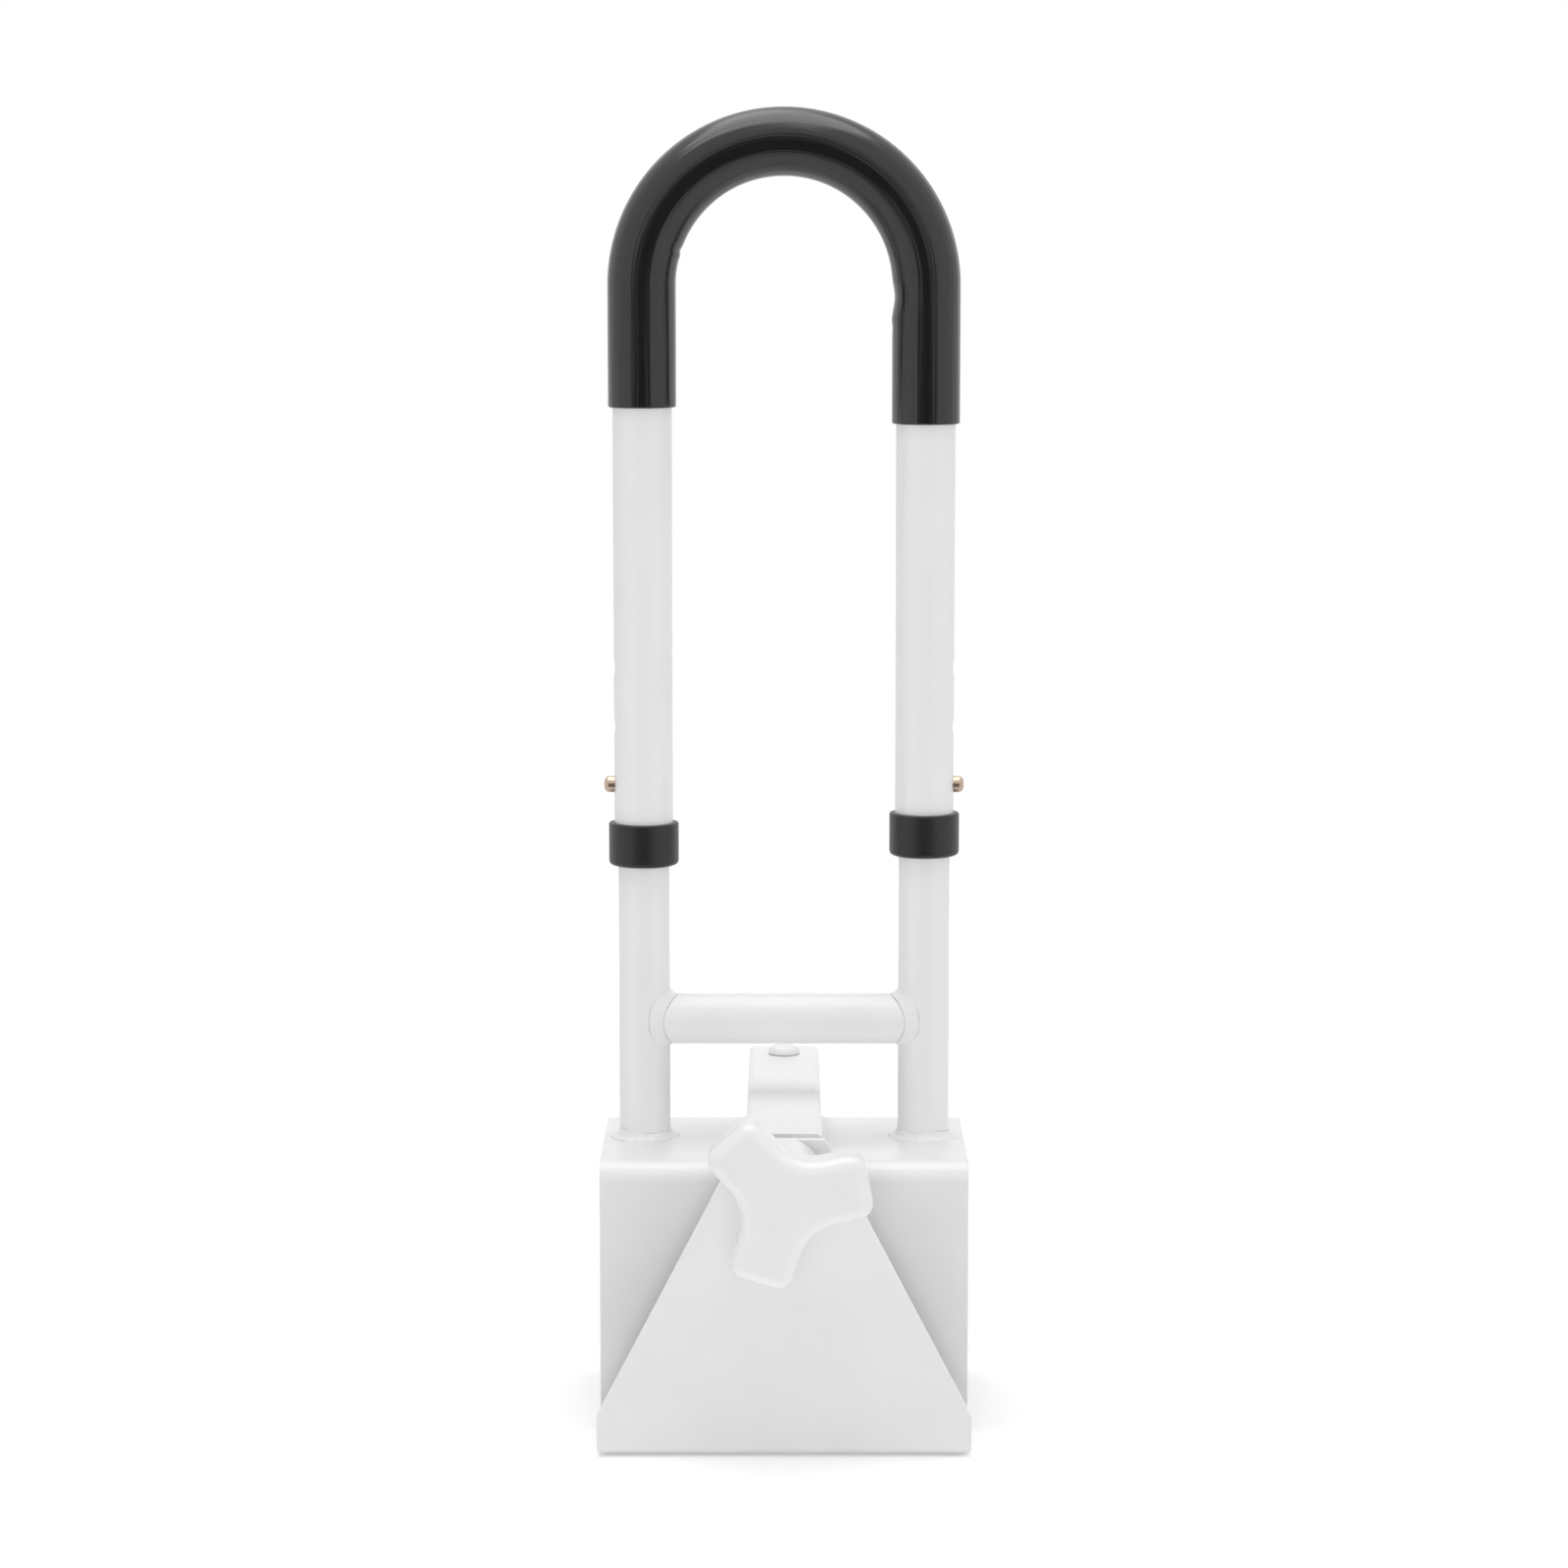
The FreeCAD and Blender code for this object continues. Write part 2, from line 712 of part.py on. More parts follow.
def make_jaw_plate():
    """The tapering plate that closes on the tub's wall, with a lip folded along its foot."""
    body = new_body("jaw_plate")
    section = sketch_on(body, "YZ_Plane")
    outline(section, [
        ("0", "0"),
        ("jaw_lip", "0"),
        ("jaw_lip", "plate_thickness"),
        ("plate_thickness", "plate_thickness"),
        ("plate_thickness", "jaw_height"),
        ("0", "jaw_height"),
    ])
    pad(body, section, "saddle_width", both_ways=True)
    across = Vector(1, 0, 0)

    def on_fold(edge, offset):
        centre = edge.CenterOfMass
        return lies_along(edge, across) and near(centre.y, offset) and near(centre.z, offset)

    fillet(body, "jaw_bend_radius - plate_thickness", lambda edge: on_fold(edge, "plate_thickness"))
    fillet(body, "jaw_bend_radius", lambda edge: on_fold(edge, "0"))
    fillet(body, "jaw_lip_radius",
           lambda edge: lies_along(edge, Vector(0, 0, 1)) and near(edge.CenterOfMass.y, "jaw_lip"))
    trim = sketch_on(body, "XZ_Plane")
    foot, top = "saddle_width / 2", "jaw_top_width / 2"
    for sign in SIDES.values():
        outline(trim, [
            (f"{sign} * {foot}", "jaw_band_height"),
            (f"{sign} * ({foot} + overrun)", "jaw_band_height"),
            (f"{sign} * ({foot} + overrun)", "jaw_height + overrun"),
            (f"{sign} * {top}", "jaw_height + overrun"),
            (f"{sign} * {top}", "jaw_height"),
        ])
        round_line = f"{sign} * ({foot} - jaw_corner_radius)"
        outline(trim, [
            (round_line, "0", (round_line, "jaw_corner_radius")),
            (f"{sign} * {foot}", "jaw_corner_radius"),
            (f"{sign} * ({foot} + overrun)", "jaw_corner_radius"),
            (f"{sign} * ({foot} + overrun)", "-overrun"),
            (round_line, "-overrun"),
        ])
    pocket(body, trim, "2 * (jaw_lip + overrun)", both_ways=True)
    along = Vector(0, 1, 0)
    fillet(body, "jaw_top_radius",
           lambda edge: lies_along(edge, along) and near(edge.CenterOfMass.z, "jaw_height"))

    def on_front_above_band(edge):
        box = edge.BoundBox
        return near(box.YMin, "0") and near(box.YMax, "0") and edge.CenterOfMass.z > value("jaw_band_height")

    fillet(body, "sheet_edge_radius", on_front_above_band)
    hole = sketch_on(body, "XZ_Plane")
    circle(hole, "screw_diameter / 2 + screw_hole_gap", ("0", "screw_axis"))
    pocket(body, hole, "2 * (plate_thickness + overrun)", both_ways=True)
    place(body, y="jaw_front")


def make_jaw_slider():
    """The square tube behind the jaw plate that runs in the guide tube."""
    body = new_body("jaw_slider")
    side = "guide_bore - 2 * slider_gap"
    rings = sketch_on(body, "XY_Plane")
    rounded_square(rings, side, "guide_corner_radius - slider_gap")
    rounded_square(rings, f"{side} - 2 * slider_wall", "guide_corner_radius - slider_gap - slider_wall")
    pad(body, rings, "slider_rear - jaw_rear")
    place(body, y="slider_rear", z="screw_axis", rotation=ALONG_FRONT)


def make_pad(label, face, backwards):
    """A soft rounded block on the face of a flange or of the jaw."""
    body = new_body(label)
    half = "(pad_width / 2)"
    core = "(pad_width / 2 - pad_corner_radius)"
    low, high = "pad_corner_radius", "pad_height - pad_corner_radius"
    section = sketch_on(body, "XZ_Plane")
    outline(section, [
        (f"-{core}", "0"),
        (core, "0", (core, low)),
        (half, low),
        (half, high, (core, high)),
        (core, "pad_height"),
        (f"-{core}", "pad_height", (f"-{core}", high)),
        (f"-{half}", high),
        (f"-{half}", low, (f"-{core}", low)),
    ])
    pad(body, section, "pad_thickness", backwards=backwards)
    front = "pad_thickness" if backwards else "-pad_thickness"
    fillet(body, "pad_edge_radius",
           lambda edge: near(edge.BoundBox.YMin, front) and near(edge.BoundBox.YMax, front))
    place(body, y=face, z="pad_rise")


# Knob and screw

def make_knob():
    """The three-lobed hand knob with its long hub."""
    body = new_body("knob")
    half, round_line = "knob_lobe_width / 2", "(knob_lobe_width / 2 - knob_tip_radius)"
    shoulder = "knob_reach - knob_tip_radius"
    lobe_sketch = sketch_on(body, "XY_Plane")
    outline(lobe_sketch, [
        (f"-{half}", "0"),
        (half, "0"),
        (half, shoulder, (round_line, shoulder)),
        (round_line, "knob_reach"),
        (f"-{round_line}", "knob_reach", (f"-{round_line}", shoulder)),
        (f"-{half}", shoulder),
    ])
    lobe = pad(body, lobe_sketch, "knob_thickness")
    lobes = body.newObject("PartDesign::PolarPattern", "Lobes")
    lobes.Originals = [lobe]
    lobes.Axis = (lobe_sketch, ["N_Axis"])
    lobes.Angle = FULL_TURN
    lobes.Occurrences = LOBE_COUNT
    body.Tip = lobes
    doc.recompute()
    upright = Vector(0, 0, 1)
    inside = value(shoulder)
    fillet(body, "knob_notch_radius", lambda edge: lies_along(edge, upright)
           and math.hypot(edge.CenterOfMass.x, edge.CenterOfMass.y) < inside)
    fillet(body, "knob_edge_radius", lambda edge: near(edge.BoundBox.ZMin, "knob_thickness"))
    fillet(body, "knob_edge_radius", lambda edge: near(edge.BoundBox.ZMax, "0"))
    hub = sketch_on(body, "XY_Plane", "-hub_length")
    circle(hub, "hub_diameter / 2")
    pad(body, hub, "hub_length + knob_edge_radius")
    socket = sketch_on(body, "XY_Plane", "-hub_length")
    hexagon(socket, "insert_across_flats / 2 + skin_gap")
    pocket(body, socket, "insert_length + skin_gap", backwards=True)
    turn = ALONG_FRONT.multiply(Rotation(upright, LOBE_TURN))
    place(body, y="hub_rear - hub_length", z="screw_axis", rotation=turn)


def hexagon(sketch, apothem):
    """A regular hexagon about the sketch's origin, with two upright sides."""
    point = f"({apothem}) / cos(30deg)"
    outline(sketch, [
        (f"({apothem})", f"-{point} / 2"),
        (f"({apothem})", f"{point} / 2"),
        ("0", point),
        (f"-({apothem})", f"{point} / 2"),
        (f"-({apothem})", f"-{point} / 2"),
        ("0", f"-{point}"),
    ])
    return sketch


def make_knob_insert():
    """The metal hexagon moulded into the hub, which drives the screw."""
    body = new_body("knob_insert")
    section = sketch_on(body, "XY_Plane")
    hexagon(section, "insert_across_flats / 2")
    circle(section, "screw_diameter / 2 + skin_gap")
    pad(body, section, "insert_length")
    turn = ALONG_FRONT.multiply(Rotation(Vector(0, 0, 1), LOBE_TURN))
    place(body, y="hub_rear", z="screw_axis", rotation=turn)


def make_screw():
    """The long clamp screw, from the knob's insert to behind the guide tube."""
    body = new_body("clamp_screw")
    radius, length = "screw_diameter / 2", "(screw_rear - hub_rear + insert_length)"
    section = sketch_on(body, "XZ_Plane")
    outline(section, [
        ("0", "0"),
        (f"{radius} - screw_chamfer", "0"),
        (radius, "screw_chamfer"),
        (radius, f"{length} - screw_chamfer"),
        (f"{radius} - screw_chamfer", length),
        ("0", length),
    ])
    revolve(body, section)
    place(body, y="screw_rear", z="screw_axis", rotation=ALONG_FRONT)


def make_ring(label, diameter, thickness, rear_face):
    """A flat ring on the screw."""
    body = new_body(label)
    section = sketch_on(body, "XY_Plane")
    circle(section, f"{diameter} / 2")
    circle(section, "screw_diameter / 2 + skin_gap")
    pad(body, section, thickness)
    place(body, y=rear_face, z="screw_axis", rotation=ALONG_FRONT)


def make_all():
    """Makes every sub-part."""
    make_sheets()
    make_saddle()
    make_crossbar()
    for side, sign in SIDES.items():
        make_post(side, sign)
        make_foot_weld(side, sign)
        make_crossbar_weld(side, sign)
        make_guide_weld(side, sign)
        make_collar(side, sign)
        make_button(side, sign)
        make_snap_spring(side, sign)
    make_hoop()
    make_grip()
    make_guide_tube()
    make_nut_block()
    make_nut_bolt()
    make_end_cap()
    make_jaw_plate()
    make_jaw_slider()
    make_pad("fixed_pad", "flange_front", False)
    make_pad("jaw_pad", "jaw_rear", True)
    make_knob()
    make_knob_insert()
    make_screw()
    make_ring("thrust_washer", "washer_diameter", "washer_thickness - ring_gap", "jaw_front - ring_gap")
    make_ring("retaining_ring", "ring_diameter", "ring_thickness", "jaw_rear + ring_gap + ring_thickness")
    doc.recompute()


def write_all():
    """Checks every object and writes each sub-part to its own file."""
    for item in doc.Objects:
        if {"Invalid", "Error"} & set(item.State):
            raise RuntimeError(f"{item.Label} did not build: {item.State}")
    os.makedirs("parts", exist_ok=True)
    for item in subparts:
        shape = item.Shape
        if shape.isNull() or not shape.isValid() or len(shape.Solids) != 1:
            raise RuntimeError(f"{item.Label} is not one valid solid")
        shape.exportStep(f"parts/{item.Label}.step")


make_all()
write_all()
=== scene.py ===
import json
import math

import bmesh
import bpy
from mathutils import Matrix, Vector, noise


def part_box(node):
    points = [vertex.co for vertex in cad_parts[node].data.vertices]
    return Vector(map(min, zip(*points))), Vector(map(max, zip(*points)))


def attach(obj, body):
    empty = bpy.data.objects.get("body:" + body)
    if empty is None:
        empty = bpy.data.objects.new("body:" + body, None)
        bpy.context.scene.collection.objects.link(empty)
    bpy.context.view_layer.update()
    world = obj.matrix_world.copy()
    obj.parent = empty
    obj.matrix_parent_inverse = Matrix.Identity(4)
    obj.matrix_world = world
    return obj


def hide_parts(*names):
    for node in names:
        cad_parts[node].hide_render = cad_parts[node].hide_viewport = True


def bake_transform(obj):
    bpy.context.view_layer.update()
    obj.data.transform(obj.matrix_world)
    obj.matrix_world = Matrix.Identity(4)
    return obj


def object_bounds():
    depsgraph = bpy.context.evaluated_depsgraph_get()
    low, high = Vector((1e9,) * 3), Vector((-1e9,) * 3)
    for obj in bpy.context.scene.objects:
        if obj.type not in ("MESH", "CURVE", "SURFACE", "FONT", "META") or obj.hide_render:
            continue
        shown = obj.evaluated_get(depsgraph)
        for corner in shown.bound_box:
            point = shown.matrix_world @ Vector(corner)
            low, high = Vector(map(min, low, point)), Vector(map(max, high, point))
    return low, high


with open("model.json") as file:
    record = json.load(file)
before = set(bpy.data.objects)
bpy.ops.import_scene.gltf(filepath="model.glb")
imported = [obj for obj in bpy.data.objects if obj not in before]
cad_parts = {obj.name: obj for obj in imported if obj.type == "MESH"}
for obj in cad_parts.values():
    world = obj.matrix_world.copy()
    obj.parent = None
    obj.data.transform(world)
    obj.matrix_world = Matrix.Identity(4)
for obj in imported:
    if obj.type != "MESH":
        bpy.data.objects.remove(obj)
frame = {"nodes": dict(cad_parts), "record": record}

# The dressed bathtub rail: finishes on the CAD nodes, and finer forms for grip, welds, screw and springs.
# Metres, +Z up, -Y towards the camera of the main view.

cad_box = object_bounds()
MM = 0.001
TURN = 2 * math.pi
UP = Vector((0, 0, 1))
BACK = Vector((0, 1, 0))
WHITE = (1, 1, 1, 1)

# Camera, fitted to the photograph's perspective, with its lens and sensor in millimetres
CAMERA_DISTANCE = 1785 * MM
CAMERA_HEIGHT = 502.8 * MM
AIM_HEIGHT = 271 * MM
LENS = 95.85
SENSOR = 36

# Colours and traits of the finishes
WHITE_COAT = (0.86, 0.86, 0.86, 1)
WHITE_PLASTIC = (0.87, 0.87, 0.87, 1)
GRIP_BLACK = (0.004, 0.004, 0.0042, 1)
PLASTIC_BLACK = (0.010, 0.010, 0.0104, 1)
PAD_BLACK = (0.03, 0.03, 0.031, 1)
BRASS = (0.56, 0.44, 0.34, 1)
ZINC = (0.60, 0.61, 0.63, 1)
SPRING = (0.42, 0.42, 0.44, 1)
COAT_ROUGHNESS = 0.12
MOTTLE_SPAN = (0.3, 0.7)
STREAKS = (38, 6, 1)
RIBS_PER_METRE = 45

# Surround, as a share of white, and the direction in which gloss sees it darkened
WORLD_LIGHT = 0.5
DARK_WAY = (0, -0.985, -0.17)
DARK_EDGE, DARK_CORE = math.cos(math.radians(38)), math.cos(math.radians(16))
DARK_LEVEL = 0.12

# Each lamp's place, its size, its watts, and whether gloss mirrors it
LAMPS = {
    "above": ((-100 * MM, 50 * MM, 2100 * MM), (1800 * MM, 1800 * MM), 22.5, True),
    "front": ((0, -2100 * MM, 350 * MM), (600 * MM, 600 * MM), 8.5, False),
    "edge": ((1500 * MM, 500 * MM, 900 * MM), (600 * MM, 1400 * MM), 3, False),
}

# Floor, whose glow to the camera rises with the distance from the rail
FLOOR_SIZE = 12000 * MM
FLOOR_GAP = 0.5 * MM
FLOOR_WHITE = (0.95, 0.95, 0.95, 1)
GLOW_REACH = (300 * MM, 1500 * MM)
GLOW_LEVEL = (0.22, 0.56)

# Grip
GRIP_OUTER = 14.55 * MM
GRIP_WALL = 1.8 * MM
# How far the sleeve reaches below the bend, left and right
GRIP_LEGS = {-1: 51.6 * MM, 1: 58.6 * MM}
GRIP_LIP = 0.8 * MM
GRIP_AROUND = 64
LEG_STEPS = 30
ARC_STEPS = 140
LIP_STEPS = 4
# Each crease on the inner side: how far below the bend's start, its width, and its push outwards
CREASES = {
    -1: ((-19.5 * MM, 1.8 * MM, -0.45 * MM), (-16.5 * MM, 2 * MM, 0.25 * MM)),
    1: ((5 * MM, 5.5 * MM, -1.05 * MM), (14 * MM, 2.5 * MM, 0.25 * MM), (18 * MM, 2 * MM, -0.15 * MM)),
}

# Weld beads
RIPPLE_PITCH = 2.4 * MM
RIPPLE_DEPTH = 0.14 * MM
BEAD_STATIONS = 240
BEAD_STEPS = 6
BEAD_ROOT = 1.2 * MM
BEAD_SINK = 0.08 * MM
HOLLOW_SHARE = 0.3
FOOT_LEG_SHARE = 0.7
FOOT_WANDER_SHARE = 0.3
FOOT_LUMPS = 1.3
SPREAD_SEED, RISE_SEED = 60, 90
CROSS_LEG_TOP = 3.6 * MM
CROSS_LEG_LOW = 1.4 * MM
CROSS_SIDE_REACH = 8.9 * MM
CROSS_SIDE_AXIS = 1.8 * MM
CROSS_SIDE_BULGE = 0.5 * MM
CROSS_WANDER_SHARE = 0.12
CROSS_LUMPS, CROSS_SEED = 3, 5
GUIDE_WANDER_SHARE = 0.1
GUIDE_LUMPS, GUIDE_SEED = 120, 50

# Screw
SCREW_CHAMFER = 1.2 * MM
THREAD_LEAD = 5 * MM
THREAD_OVERLAP = 12 * MM
THREAD_DEPTH = 0.75 * MM
THREAD_STEPS = 14
THREAD_AROUND = 40
THREAD_FLANK = 4
THREAD_LAND = 0.5

# Springs
SPRING_THICKNESS = 0.8 * MM
SPRING_STEPS = 24


# Finishes

def finish(name, colour, roughness, metallic=0, coat=0, gloss=0.5):
    """A plain surface, with its shader, ready for a texture."""
    material = bpy.data.materials.new(name)
    material.use_nodes = True
    shader = material.node_tree.nodes["Principled BSDF"]
    shader.inputs["Base Color"].default_value = colour
    shader.inputs["Roughness"].default_value = roughness
    shader.inputs["Metallic"].default_value = metallic
    shader.inputs["Specular IOR Level"].default_value = gloss
    shader.inputs["Coat Weight"].default_value = coat
    shader.inputs["Coat Roughness"].default_value = COAT_ROUGHNESS
    return material, shader


def cloud(material, per_metre, detail=2):
    """A soft noise that stays with the piece."""
    nodes, links = material.node_tree.nodes, material.node_tree.links
    place = nodes.new("ShaderNodeTexCoord")
    lumps = nodes.new("ShaderNodeTexNoise")
    lumps.inputs["Scale"].default_value = per_metre
    lumps.inputs["Detail"].default_value = detail
    links.new(place.outputs["Object"], lumps.inputs["Vector"])
    return lumps


def emboss(material, shader, height, depth):
    """A relief that follows a texture's height."""
    nodes, links = material.node_tree.nodes, material.node_tree.links
    relief = nodes.new("ShaderNodeBump")
    relief.inputs["Strength"].default_value = 1
    relief.inputs["Distance"].default_value = depth
    links.new(height, relief.inputs["Height"])
    links.new(relief.outputs["Normal"], shader.inputs["Normal"])


def grain(material, shader, per_metre, depth, detail=2):
    """A fine relief of soft lumps."""
    lumps = cloud(material, per_metre, detail)
    emboss(material, shader, lumps.outputs["Fac"], depth)
    return lumps


def uneven_gloss(material, shader, per_metre, low, high):
    """Roughness that wanders between two values."""
    nodes, links = material.node_tree.nodes, material.node_tree.links
    spread = nodes.new("ShaderNodeMapRange")
    spread.inputs["To Min"].default_value = low
    spread.inputs["To Max"].default_value = high
    links.new(cloud(material, per_metre).outputs["Fac"], spread.inputs["Value"])
    links.new(spread.outputs["Result"], shader.inputs["Roughness"])


def mottle(material, shader, per_metre, share):
    """Colour that wanders a little to either side of the plain one."""
    nodes, links = material.node_tree.nodes, material.node_tree.links
    plain = Vector(shader.inputs["Base Color"].default_value[:3])
    tint = nodes.new("ShaderNodeValToRGB")
    darker, lighter = tint.color_ramp.elements
    darker.position, lighter.position = MOTTLE_SPAN
    darker.color = (*plain * (1 - share), 1)
    lighter.color = (*plain * (1 + share), 1)
    links.new(cloud(material, per_metre).outputs["Fac"], tint.inputs["Fac"])
    links.new(tint.outputs["Color"], shader.inputs["Base Color"])


def white_coat():
    material, shader = finish("white_coat", WHITE_COAT, roughness=0.34, coat=0.25)
    mottle(material, shader, per_metre=40, share=0.012)
    grain(material, shader, per_metre=420, depth=0.035 * MM)
    return material


def white_plastic():
    material, shader = finish("white_plastic", WHITE_PLASTIC, roughness=0.22, coat=0.2)
    mottle(material, shader, per_metre=60, share=0.012)
    grain(material, shader, per_metre=90, depth=0.05 * MM, detail=1)
    return material


def black_grip():
    """Soft vinyl with faint lines along the sleeve."""
    material, shader = finish("black_grip", GRIP_BLACK, roughness=0.25, gloss=0.65)
    mottle(material, shader, per_metre=120, share=0.15)
    nodes, links = material.node_tree.nodes, material.node_tree.links
    chart = nodes.new("ShaderNodeTexCoord")
    stretch = nodes.new("ShaderNodeMapping")
    stretch.inputs["Scale"].default_value = STREAKS
    lines = grain(material, shader, per_metre=1, depth=0.3 * MM)
    links.new(chart.outputs["UV"], stretch.inputs["Vector"])
    links.new(stretch.outputs["Vector"], lines.inputs["Vector"])
    uneven_gloss(material, shader, per_metre=25, low=0.16, high=0.28)
    return material


def black_plastic():
    material, shader = finish("black_plastic", PLASTIC_BLACK, roughness=0.38)
    mottle(material, shader, per_metre=200, share=0.15)
    grain(material, shader, per_metre=900, depth=0.12 * MM)
    return material


def pad_rubber():
    """Dull rubber with level ribs."""
    material, shader = finish("pad_rubber", PAD_BLACK, roughness=0.72)
    mottle(material, shader, per_metre=150, share=0.12)
    nodes, links = material.node_tree.nodes, material.node_tree.links
    place = nodes.new("ShaderNodeTexCoord")
    ribs = nodes.new("ShaderNodeTexWave")
    ribs.bands_direction = "Z"
    ribs.inputs["Scale"].default_value = RIBS_PER_METRE
    links.new(place.outputs["Object"], ribs.inputs["Vector"])
    emboss(material, shader, ribs.outputs["Fac"], depth=0.6 * MM)
    return material


def button_brass():
    material, shader = finish("button_brass", BRASS, roughness=0.32, metallic=1)
    mottle(material, shader, per_metre=400, share=0.05)
    grain(material, shader, per_metre=900, depth=0.02 * MM)
    return material


def zinc_steel():
    material, shader = finish("zinc_steel", ZINC, roughness=0.3, metallic=1)
    mottle(material, shader, per_metre=250, share=0.06)
    uneven_gloss(material, shader, per_metre=300, low=0.22, high=0.4)
    return material


def spring_steel():
    material, shader = finish("spring_steel", SPRING, roughness=0.34, metallic=1)
    mottle(material, shader, per_metre=250, share=0.06)
    uneven_gloss(material, shader, per_metre=200, low=0.28, high=0.42)
    return material


MAKERS = (white_coat, white_plastic, black_grip, black_plastic,
          pad_rubber, button_brass, zinc_steel, spring_steel)
finishes = {maker.__name__: maker() for maker in MAKERS}


def paint_nodes():
    """Gives every CAD node the finish that the record names."""
    for part in frame["record"]["subparts"]:
        node = frame["nodes"][part["node"]]
        for holder in node.material_slots:
            holder.material = finishes[part["material_slot"]]


# Meshes

def piece(name, vertices, faces, slot, node):
    """A mesh, smooth but for its end caps, that stands for a CAD node."""
    mesh = bpy.data.meshes.new(name)
    mesh.from_pydata(vertices, [], faces)
    shell = bmesh.new()
    shell.from_mesh(mesh)
    bmesh.ops.recalc_face_normals(shell, faces=shell.faces)
    shell.to_mesh(mesh)
    shell.free()
    for face in mesh.polygons:
        face.use_smooth = len(face.vertices) == 4
    item = bpy.data.objects.new(name, mesh)
    bpy.context.scene.collection.objects.link(item)
    mesh.materials.append(finishes[slot])
    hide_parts(node)
    return item


def skin(rings, looped):
    """Vertices and faces of a surface through closed rings, looped or with a flat cap at both ends."""
    count = len(rings[0])
    vertices = [point for ring in rings for point in ring]
    faces = []
    spans = len(rings) if looped else len(rings) - 1
    for row in range(spans):
        here, there = row * count, (row + 1) % len(rings) * count
        for step in range(count):
            after = (step + 1) % count
            faces.append((here + step, here + after, there + after, there + step))
    if not looped:
        faces.append(tuple(reversed(range(count))))
        faces.append(tuple(range(len(vertices) - count, len(vertices))))
    return vertices, faces


def middle(node):
    low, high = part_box(node)
    return (Vector(low) + Vector(high)) / 2


# Grip

def grip_stations():
    """Places along the grip: centre, outward direction, distance below the bend's start, and side."""
    low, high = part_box("hand_grip")
    posts = middle("left_post")
    half, depth = abs(posts.x), posts.y
    arc_height = high[2] - (high[1] - low[1]) / 2 - half
    ends = {side: arc_height - leg for side, leg in GRIP_LEGS.items()}
    stations = []
    for step in range(LEG_STEPS):
        height = ends[-1] + (arc_height - ends[-1]) * step / LEG_STEPS
        stations.append((Vector((-half, depth, height)), Vector((-1, 0, 0)), arc_height - height, -1))
    for step in range(ARC_STEPS):
        angle = math.pi * (1 - step / ARC_STEPS)
        out = Vector((math.cos(angle), 0, math.sin(angle)))
        side = -1 if angle > math.pi / 2 else 1
        along = half * (math.pi - angle if side < 0 else angle)
        stations.append((Vector((0, depth, arc_height)) + out * half, out, -along, side))
    for step in range(LEG_STEPS + 1):
        height = arc_height + (ends[1] - arc_height) * step / LEG_STEPS
        stations.append((Vector((half, depth, height)), Vector((1, 0, 0)), arc_height - height, 1))
    return stations


def crease(below_bend, side, inward):
    """How far the vinyl is pushed in or out, near where the bend starts, on its inner side."""
    if inward <= 0:
        return 0
    push = 0
    for offset, width, depth in CREASES[side]:
        push += depth * math.exp(-((below_bend - offset) / width) ** 2)
    return push * inward ** 2


def grip_ring(centre, out, reach):
    """A ring across the sleeve, whose radius follows how far a point lies on the outward side."""
    ring = []
    for step in range(GRIP_AROUND):
        angle = TURN * step / GRIP_AROUND
        way = out * math.cos(angle) + BACK * math.sin(angle)
        ring.append(centre + way * reach(math.cos(angle)))
    return ring


def grip_lip(end, out):
    """The rounded end of the sleeve, from its outer side to its flat end."""
    rings = []
    for step in range(LIP_STEPS + 1):
        turn = math.pi / 2 * step / LIP_STEPS
        centre = end + UP * GRIP_LIP * (1 - math.sin(turn))
        reach = GRIP_OUTER - GRIP_LIP * (1 - math.cos(turn))
        rings.append(grip_ring(centre, out, lambda outward: reach))
    return rings


def make_grip():
    """The vinyl sleeve, with the small creases that a bend leaves on its inner side."""
    stations = grip_stations()
    outer_rings, bore_rings = [], []
    for centre, out, below, side in stations:
        creased = grip_ring(centre, out, lambda outward: GRIP_OUTER + crease(below, side, -outward))
        outer_rings.append(creased)
        bore_rings.append(grip_ring(centre, out, lambda outward: GRIP_OUTER - GRIP_WALL))
    first, last = stations[0], stations[-1]
    start, end = grip_lip(first[0], first[1]), grip_lip(last[0], last[1])
    rings = start[::-1] + outer_rings[1:-1] + end + bore_rings[::-1]
    vertices, faces = skin(rings, looped=True)
    sleeve = piece("grip_sleeve", vertices, faces, "black_grip", "hand_grip")
    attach(sleeve, "handle")
    chart = sleeve.data.uv_layers.new(name="along_sleeve")
    for loop in sleeve.data.loops:
        row, step = divmod(loop.vertex_index, GRIP_AROUND)
        chart.data[loop.index].uv = (step / GRIP_AROUND, row / len(rings))


# Welds

def bead(name, sections, looped, node):
    """A rippled bead. Each section has its two feet, the way out of the corner, and its bulge."""
    travelled = 0
    rings = []
    for index, (first, last, away, bulge) in enumerate(sections):
        centre = (first + last) / 2
        if index:
            travelled += (centre - (sections[index - 1][0] + sections[index - 1][1]) / 2).length
        ripple = abs(math.sin(math.pi * travelled / RIPPLE_PITCH)) * RIPPLE_DEPTH
        ring = [centre - away * (BEAD_ROOT + max(0, -bulge))]
        for step in range(BEAD_STEPS + 1):
            share = step / BEAD_STEPS
            ring.append(first.lerp(last, share) + away * math.sin(math.pi * share) * (bulge + ripple))
        rings.append(ring)
    vertices, faces = skin(rings, looped)
    item = piece(name, vertices, faces, "white_coat", node)
    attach(item, "frame")
    sides = BEAD_STEPS + 2
    for index, face in enumerate(item.data.polygons):
        face.use_smooth = 0 < index % sides < sides - 1


